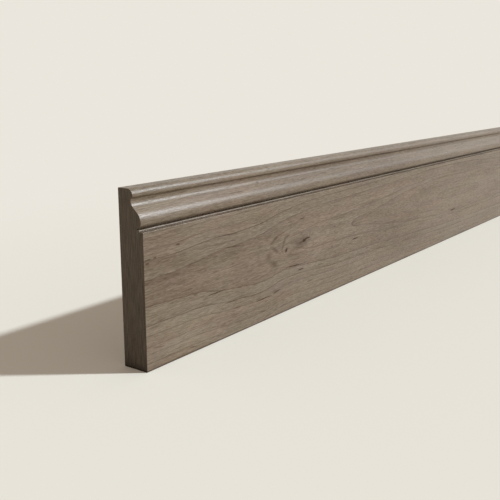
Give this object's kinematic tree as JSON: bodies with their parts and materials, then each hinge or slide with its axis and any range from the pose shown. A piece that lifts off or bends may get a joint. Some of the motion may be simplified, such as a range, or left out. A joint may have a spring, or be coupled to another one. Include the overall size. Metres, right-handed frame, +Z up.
{
  "type": "skirting board length",
  "caption": "Straight length of hardwood skirting board with a flat back, a plain plinth face and a moulded top of crown, cove, swell, quirk and bead.",
  "frame": {"origin": "middle of the foot: half-way along the length and through the thickness, at floor level", "axes": "+X along the length, +Y from the moulded front through the flat back into the wall, +Z up from the floor"},
  "size_m": [2.4, 0.0206, 0.119],
  "materials": {
    "stained_hardwood": "grey-brown stain under a satin lacquer"
  },
  "bodies": {
    "root": {"skirting_board": "stained_hardwood"}
  },
  "joints": []
}
